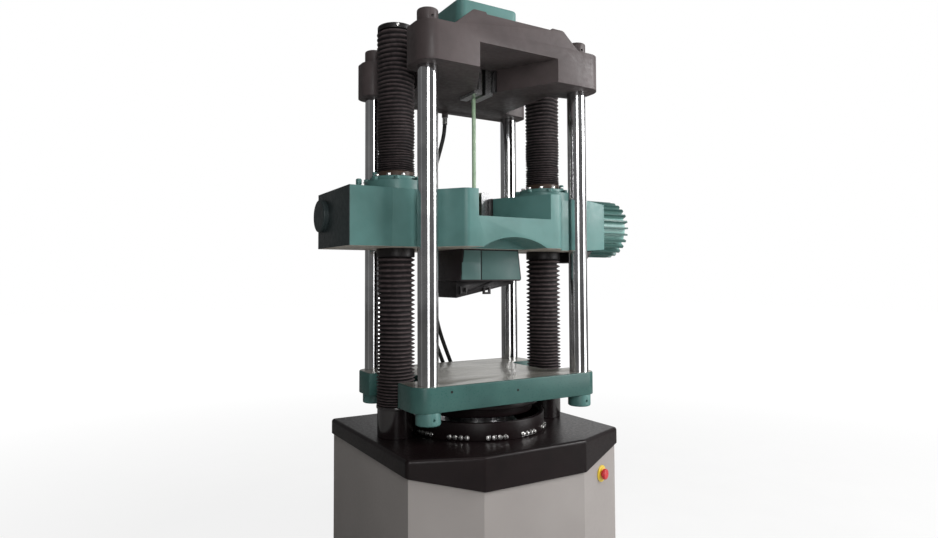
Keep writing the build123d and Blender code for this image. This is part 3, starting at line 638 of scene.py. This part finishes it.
# hydraulic hoses, along the same routes as their solids
hoseTube = {"diameter": 0.024, "stepsAlong": 12, "stepsRound": 5}
hoseSettings = {
    "left_grip_hose": {
        "low": 0.743,            # top of the fitting on the cover
        "high": 1.440,           # port of the lower grip
        "fromY": 0.0,
        "points": [(-0.150, 0.146, 1), (-0.150, 0.216, 1), (-0.132, 0.310, 0.94), (-0.095, 0.372, 0.81),
                   (-0.045, 0.412, 0.64), (0.010, 0.430, 0.47), (0.065, 0.440, 0.3), (0.110, 0.445, 0.15),
                   (0.125, 0.446, 0.07), (0.125, 0.446, 0)],
    },
    "right_grip_hose": {
        "low": 0.743,
        "high": 1.440,
        "fromY": 0.0,
        "points": [(-0.098, 0.146, 1), (-0.098, 0.218, 1), (-0.080, 0.313, 0.95), (-0.043, 0.376, 0.81),
                   (0.008, 0.414, 0.64), (0.064, 0.432, 0.47), (0.120, 0.442, 0.3), (0.166, 0.447, 0.15),
                   (0.182, 0.448, 0.07), (0.182, 0.448, 0)],
    },
    "upper_grip_hose": {
        "low": tableHigh.z - 0.030,      # top of the elbow on the table's back edge
        "high": 2.499,
        "fromY": -tableLow.y,
        "points": [(0.024, -0.012, 1), (0.024, -0.012, 0.95), (0.008, 0.008, 0.88), (-0.040, 0.032, 0.76),
                   (-0.088, 0.044, 0.59), (-0.106, 0.046, 0.42), (-0.110, 0.044, 0.26), (-0.110, 0.034, 0.13),
                   (-0.110, 0.030, 0.05), (-0.110, 0.030, 0)],
    },
}


def hoseRoute(low, high, fromY, points):
    # each point holds x, y and the share of the height between the two fittings
    return [(x, fromY + y, low + share * (high - low)) for x, y, share in points]


hoseRoutes = {name: hoseRoute(**settings) for name, settings in hoseSettings.items()}


def hoseCurve(name, route, radius):
    data = bpy.data.curves.new(name, "CURVE")
    data.dimensions = "3D"
    data.resolution_u = hoseTube["stepsAlong"]
    data.bevel_depth = radius
    data.bevel_resolution = hoseTube["stepsRound"]
    data.use_fill_caps = True
    spline = data.splines.new("NURBS")
    spline.points.add(len(route) - 1)
    for point, place in zip(spline.points, route):
        point.co = (*place, 1)
    spline.order_u = 3
    spline.use_endpoint_u = True
    curve = bpy.data.objects.new(name, data)
    bpy.context.scene.collection.objects.link(curve)
    return curve


def curvePoints(route):
    line = hoseCurve("hoseLine", route, 0.0)
    mesh = bpy.data.meshes.new_from_object(line.evaluated_get(bpy.context.evaluated_depsgraph_get()))
    points = [vertex.co.copy() for vertex in mesh.vertices]
    discard(line)
    return points


for name, route in hoseRoutes.items():
    path = curvePoints(route)
    activate(hoseCurve(name + "_tube", route, hoseTube["diameter"] / 2))
    bpy.ops.object.convert(target="MESH")
    tube = settle(bpy.context.active_object, name + "_tube", finishes["hose_rubber"], angle=60)
    if name == "upper_grip_hose":
        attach(tube, "ram")
    else:
        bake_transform(tube)
    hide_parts(name)


# fasteners: each kind is modelled once, then copied to its places
socketShape = {"rim": 0.42, "edge": 0.10, "depth": 0.5}                  # shares of the size of each
boltShape = {"washer": 0.2, "washerReach": 0.74, "edge": 0.12, "washerEdge": 0.04}
plugShape = {"stem": 0.7, "flare": 1.43, "dome": 0.72, "hexagon": 1.15, "hexagonEdge": 0.08,
             "neck": 0.42, "cap": 0.34, "crown": 0.08, "foot": 0.3}
spinStep = 0.4                   # each copy is turned a little further than the last, in radians


def facesUp(face):
    return face.normal.z > 0.9


def socketScrew(radius, height):
    piece = addCylinder(24, radius, height)
    editSome(piece, "FACE", facesUp)
    bpy.ops.mesh.inset(thickness=radius * socketShape["rim"])
    pull(-height * socketShape["depth"])
    leaveEdit()
    roundEdges(piece, radius * socketShape["edge"], 2)
    return applyPlace(piece)


def hexBolt(flats, height):
    thickness = height * boltShape["washer"]
    head = addCylinder(6, flats / math.sqrt(3), height, foot=thickness)
    roundEdges(head, height * boltShape["edge"], 2)
    washer = addCylinder(24, flats * boltShape["washerReach"], thickness)
    roundEdges(washer, height * boltShape["washerEdge"], 1)
    return applyPlace(joinAll([head, washer]))


def capPlug(radius, height):
    # a stem with a hexagon low down and a domed cap
    stem = addCylinder(28, radius * plugShape["stem"], height)
    editSome(stem, "FACE", facesUp)
    pull(-height * plugShape["neck"])
    widen(plugShape["flare"])
    pull(height * plugShape["cap"])
    pull(height * plugShape["crown"])
    widen(plugShape["dome"])
    leaveEdit()
    foot = addCylinder(6, radius * plugShape["hexagon"], height * plugShape["foot"])
    roundEdges(foot, radius * plugShape["hexagonEdge"], 2)
    return applyPlace(joinAll([stem, foot]))


def placeCopies(pattern, name, places, material, body):
    # places holds (point, outward direction) pairs
    copies = [copyTo(pattern, point, way, spinStep * index) for index, (point, way) in enumerate(places)]
    group = settle(joinAll(copies), name, material)
    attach(group, body)


def outward(angle):
    return Vector((math.cos(angle), math.sin(angle), 0))


def ringPlaces(axisX, level, circle, count, start):
    # upright, round one screw
    centre = Vector((axisX, 0, level))
    angles = [start + 2 * math.pi * index / count for index in range(count)]
    return [(centre + circle * outward(angle), (0, 0, 1)) for angle in angles]


fastenerSettings = {
    "coverScrew": {"size": {"radius": 0.011, "height": 0.014},
                   "ring": {"circle": 0.116, "count": 10, "start": 0.2}},
    "turretBolt": {"size": {"flats": 0.026, "height": 0.015},
                   "ring": {"circle": 0.149, "count": 8, "start": 0.39}},
    "guardBolt": {"size": {"flats": 0.017, "height": 0.010},
                  "groups": 12, "perGroup": 4, "spacing": 0.030, "rise": 0.018},
    "capScrew": {"size": {"radius": 0.008, "height": 0.004}, "count": 3, "start": -1.9},
    "breather": {"size": {"radius": 0.015, "height": 0.066}, "place": (-0.682, 0.0)},
    "flangePlug": {"size": {"radius": 0.013, "height": 0.027}, "circle": 0.118,
                   "angles": {"left": math.pi, "right": -math.pi / 3}},
    "tablePlug": {"size": {"radius": 0.006, "height": 0.002}, "places": ((0.014, 0.957), (-0.366, 0.981))},
}
screwAxes = {side: middleX(side + "_screw") for side in ("left", "right")}
greenPaint = finishes["green_paint"]

coverScrew = fastenerSettings["coverScrew"]
screwPattern = socketScrew(**coverScrew["size"])
coverPlaces = []
for axisX in screwAxes.values():
    coverPlaces += ringPlaces(axisX, flangeTop, **coverScrew["ring"])
placeCopies(screwPattern, "cover_screws", coverPlaces, boltSteel, "crosshead")

turretBolt = fastenerSettings["turretBolt"]
turretTop = flangeTop - nutCover["flange"]
turretPattern = hexBolt(**turretBolt["size"])
turretPlaces = []
for axisX in screwAxes.values():
    turretPlaces += ringPlaces(axisX, turretTop, **turretBolt["ring"])
placeCopies(turretPattern, "turret_bolts", turretPlaces, greenPaint, "crosshead")

guardBolt = fastenerSettings["guardBolt"]
guardLow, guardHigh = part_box("ram_guard_ring")
guardRadius = (guardHigh.x - guardLow.x) / 2
guardFoot = Vector((0, 0, guardLow.z + guardBolt["rise"]))
guardPattern = hexBolt(**guardBolt["size"])
guardPlaces = []
for group in range(guardBolt["groups"]):
    middle = 2 * math.pi * (group + 0.5) / guardBolt["groups"]
    for index in range(guardBolt["perGroup"]):
        shift = (index - (guardBolt["perGroup"] - 1) / 2) * guardBolt["spacing"] / guardRadius
        way = outward(middle + shift)
        guardPlaces.append((guardFoot + guardRadius * way, way))
placeCopies(guardPattern, "guard_bolts", guardPlaces, boltSteel, "base")

capScrew = fastenerSettings["capScrew"]
capLow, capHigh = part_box("screw_caps")
capRadius = (capHigh.y - capLow.y) / 2
capPattern = socketScrew(**capScrew["size"])
capPlaces = []
for axisX in screwAxes.values():
    capMiddle = Vector((axisX, 0, (capLow.z + capHigh.z) / 2))
    for index in range(capScrew["count"]):
        way = outward(capScrew["start"] + 2 * math.pi * index / capScrew["count"])
        capPlaces.append((capMiddle + capRadius * way, way))
placeCopies(capPattern, "cap_screws", capPlaces, boltSteel, "base")

breather = fastenerSettings["breather"]
breatherPattern = capPlug(**breather["size"])
breatherPlaces = [((*breather["place"], beamHigh.z), (0, 0, 1))]
placeCopies(breatherPattern, "end_breather", breatherPlaces, greenPaint, "crosshead")

flangePlug = fastenerSettings["flangePlug"]
plugPattern = capPlug(**flangePlug["size"])
plugPlaces = []
for side, angle in flangePlug["angles"].items():
    plugPlaces += ringPlaces(screwAxes[side], flangeTop, flangePlug["circle"], 1, angle)
placeCopies(plugPattern, "flange_plugs", plugPlaces, greenPaint, "crosshead")

tablePlug = fastenerSettings["tablePlug"]
tablePattern = socketScrew(**tablePlug["size"])
tablePlaces = [((x, tableLow.y, z), (0, -1, 0)) for x, z in tablePlug["places"]]
placeCopies(tablePattern, "table_plugs", tablePlaces, finishes["dark_steel"], "ram")

for pattern in (screwPattern, turretPattern, guardPattern, capPattern,
                breatherPattern, plugPattern, tablePattern):
    discard(pattern)
print("fasteners placed")


# crimped ferrules where the hoses meet their fittings
ferruleSettings = {"radius": 0.0155, "length": 0.042, "grooves": 4, "waist": 0.9, "slope": 0.3,
                   "wall": 0.12}


def ferrule(radius, length, grooves, waist, slope, wall):
    # a sleeve with a few pressed rings
    step = length / (2 * grooves + 1)
    piece = applyPlace(addCylinder(32, radius, step, ends="NOTHING"))
    for factor in (waist, 1 / waist) * grooves:
        top = max(vertex.co.z for vertex in piece.data.vertices) - 1e-5
        editSome(piece, "VERT", lambda vertex: vertex.co.z > top)
        pull(step * slope)
        widen(factor)
        pull(step * (1 - slope))
        leaveEdit()
    addModifier(piece, "SOLIDIFY", thickness=radius * wall, offset=-1)
    return piece


ferrulePattern = ferrule(**ferruleSettings)
ferrulePlaces = {"base": [], "crosshead": [], "ram": []}
for name, route in hoseRoutes.items():
    start, second = Vector(route[0]), Vector(route[1])
    end, before = Vector(route[-1]), Vector(route[-2])
    nearBody, farBody = ("ram", "ram") if name == "upper_grip_hose" else ("crosshead", "base")
    ferrulePlaces[nearBody].append((start, second - start))
    ferrulePlaces[farBody].append((end, before - end))
for body, places in ferrulePlaces.items():
    placeCopies(ferrulePattern, body + "_ferrules", places, boltSteel, body)
discard(ferrulePattern)
print("hose ferrules placed")


# vent slots and screws on the back panel
backSettings = {
    "louvre": {"width": 0.20, "height": 0.010, "depth": 0.008, "bend": 0.0044, "sheet": 0.001,
               "pitch": 0.024, "rows": 9},
    "columns": (-0.32, 0.32),
    "lowest": 0.30,
    "screw": {"radius": 0.006, "height": 0.003},
    "screwInset": 0.022,
    "topScrewDrop": 0.10,
}


def louvre(width, height, depth, bend, sheet, pitch, rows):
    # one pressed hood, open below, repeated upwards
    bpy.ops.mesh.primitive_cube_add(size=1, location=(0, depth / 2, height / 2))
    piece = bpy.context.active_object
    piece.scale = (width, depth, height)
    applyPlace(piece)
    editSome(piece, "FACE", lambda face: face.normal.z < -0.9 or face.normal.y < -0.9)
    bpy.ops.mesh.delete(type="FACE")
    leaveEdit()
    roundEdges(piece, bend, 4)
    addModifier(piece, "SOLIDIFY", thickness=sheet, offset=-1)
    stackUp(piece, rows, pitch)
    return piece


backLow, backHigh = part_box("cabinet_back_panel")
louvrePattern = louvre(**backSettings["louvre"])
louvrePlaces = [(x, backHigh.y, backSettings["lowest"]) for x in backSettings["columns"]]
louvreCopies = [copyTo(louvrePattern, place) for place in louvrePlaces]
louvres = settle(joinAll(louvreCopies), "back_louvres", finishes["cabinet_grey"])
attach(louvres, "base")
discard(louvrePattern)

panelScrew = socketScrew(**backSettings["screw"])
inset = backSettings["screwInset"]
lowRow, topRow = backLow.z + inset, backHigh.z - backSettings["topScrewDrop"]
sideRows = (lowRow, (backLow.z + backHigh.z) / 2, topRow)
panelPlaces = []
for x, rows in ((backLow.x + inset, sideRows), (0.0, (lowRow,)), (backHigh.x - inset, sideRows)):
    panelPlaces += [((x, backHigh.y, z), (0, 1, 0)) for z in rows]
placeCopies(panelScrew, "panel_screws", panelPlaces, boltSteel, "base")
discard(panelScrew)
print("back panel dressed")


# floor, light and camera
stageSettings = {
    "floorSize": 60.0,
    "floorShades": ("BEBEBC", "C6C6C4"),
    "floorGlow": 1.06,
    "floorFade": (2.0, 7.0),     # distance over which the floor turns to plain backdrop
    "backdropStrength": 1.0,
    "backdropWay": (0.766, 0.643, 0.0),
    "backdropEdge": (0.80, 0.95),        # how nearly a mirror ray must run that way to meet white
    "ambient": 0.05,             # soft light from the whole room
    "backdropFill": 0.70,        # soft light that the backdrop throws on the machine's back
    "fillEdge": (0.2, 0.9),
    "roomGlow": 0.15,            # what mirrors see of the room
}
lampSettings = {
    "keyHigh": {"place": (3.65, -2.98, 3.65), "aim": (0.0, 0.0, 3.65), "size": (2.0, 2.3), "power": 200},
    "keyLow": {"place": (3.65, -2.98, 1.35), "aim": (0.0, 0.0, 1.35), "size": (2.0, 2.3), "power": 60},
    "frontHigh": {"place": (-2.2, -4.9, 3.55), "aim": (0.0, 0.0, 3.55), "size": (1.5, 2.3), "power": 100},
    "frontLow": {"place": (-2.2, -4.9, 1.25), "aim": (0.0, 0.0, 1.25), "size": (1.5, 2.3), "power": 30},
    "leftCard": {"place": (-4.6, 0.5, 2.2), "aim": (0.0, 0.0, 1.6), "size": (0.9, 4.4), "power": 1.3},
    "topBox": {"place": (0.4, -1.2, 5.6), "aim": (0.0, 0.0, 1.0), "size": (2.4, 2.4), "power": 24},
}
cameraSettings = {
    "eye": (-1.8554, -2.9748, 1.5089),
    "yaw": 29.984,               # turned right from +Y
    "pitch": 2.155,
    "roll": -0.172,
    "focalPixels": 632.557,
    "opticalCentre": (452.60, 255.65),
    "imageSize": (938, 538),
    "sensor": 36.0,
}


def makeFloor(settings):
    bpy.ops.mesh.primitive_plane_add(size=settings["floorSize"], location=(0, 0, 0))
    floor = bpy.context.active_object
    floor.name = "studioFloor"
    finish = Finish("floorPaper", settings["floorShades"][0], 0.9)
    finish.base(finish.blendColours(finish.noise(3.0, 2.0), *settings["floorShades"]))
    glow = finish.node("ShaderNodeEmission")
    glow.inputs["Strength"].default_value = settings["floorGlow"]
    seen = finish.node("ShaderNodeLightPath").outputs["Is Camera Ray"]
    away = finish.spread(finish.distance(0.0, 0.0, 0.0), 0.8, 1.0, *settings["floorFade"])
    mix = finish.node("ShaderNodeMixShader")
    finish.link(combine(finish.tree, "MULTIPLY", seen, away), mix.inputs["Fac"])
    finish.link(finish.shader.outputs["BSDF"], mix.inputs[1])
    finish.link(glow.outputs["Emission"], mix.inputs[2])
    finish.link(mix.outputs["Shader"], finish.tree.nodes["Material Output"].inputs["Surface"])
    floor.data.materials.append(finish.material)


def makeWorld(settings):
    world = bpy.data.worlds.new("studio")
    bpy.context.scene.world = world
    world.use_nodes = True
    tree = world.node_tree
    sky = tree.nodes["Background"]
    sky.inputs["Color"].default_value = (1, 1, 1, 1)
    rays = addNode(tree, "ShaderNodeLightPath").outputs
    facing = addNode(tree, "ShaderNodeVectorMath", operation="DOT_PRODUCT")
    facing.inputs[1].default_value = settings["backdropWay"]
    tree.links.new(addNode(tree, "ShaderNodeTexCoord").outputs["Generated"], facing.inputs[0])
    toBackdrop = facing.outputs["Value"]
    # the camera and mirrors that face the backdrop see white, the rest of the room is dim
    behind = mapRange(tree, toBackdrop, 0.0, 1.0, *settings["backdropEdge"], "SMOOTHSTEP")
    mirrored = combine(tree, "MULTIPLY", rays["Is Glossy Ray"], behind)
    seen = combine(tree, "MAXIMUM", rays["Is Camera Ray"], mirrored)
    fill = mapRange(tree, toBackdrop, settings["ambient"], settings["backdropFill"], *settings["fillEdge"],
                    "SMOOTHSTEP")
    room = mapRange(tree, rays["Is Glossy Ray"], fill, settings["roomGlow"])
    tree.links.new(mapRange(tree, seen, room, settings["backdropStrength"]), sky.inputs["Strength"])


def makeLamp(name, place, aim, size, power):
    data = bpy.data.lights.new(name, "AREA")
    data.shape = "RECTANGLE"
    data.size, data.size_y = size
    data.energy = power
    lamp = bpy.data.objects.new(name, data)
    bpy.context.scene.collection.objects.link(lamp)
    lamp.location = place
    lamp.rotation_euler = (Vector(aim) - Vector(place)).to_track_quat("-Z", "Y").to_euler()


def makeCamera(settings):
    data = bpy.data.cameras.new("photoCamera")
    data.sensor_width = settings["sensor"]
    data.sensor_fit = "HORIZONTAL"
    width, height = settings["imageSize"]
    data.lens = settings["focalPixels"] / width * settings["sensor"]
    data.shift_x = (width / 2 - settings["opticalCentre"][0]) / width
    data.shift_y = (settings["opticalCentre"][1] - height / 2) / width
    yaw, pitch = math.radians(settings["yaw"]), math.radians(settings["pitch"])
    forward = Vector((math.sin(yaw) * math.cos(pitch), math.cos(yaw) * math.cos(pitch), math.sin(pitch)))
    right = Vector((math.cos(yaw), -math.sin(yaw), 0))
    up = right.cross(forward)
    turn = Matrix((right, up, -forward)).transposed().to_4x4()
    camera = bpy.data.objects.new("photoCamera", data)
    bpy.context.scene.collection.objects.link(camera)
    camera.matrix_world = (Matrix.Translation(settings["eye"]) @ turn
                           @ Matrix.Rotation(math.radians(settings["roll"]), 4, "Z"))
    bpy.context.scene.camera = camera


makeFloor(stageSettings)
makeWorld(stageSettings)
for name, settings in lampSettings.items():
    makeLamp(name, **settings)
makeCamera(cameraSettings)
bpy.context.scene.view_settings.view_transform = "Standard"
print("stage, lamps and camera ready")
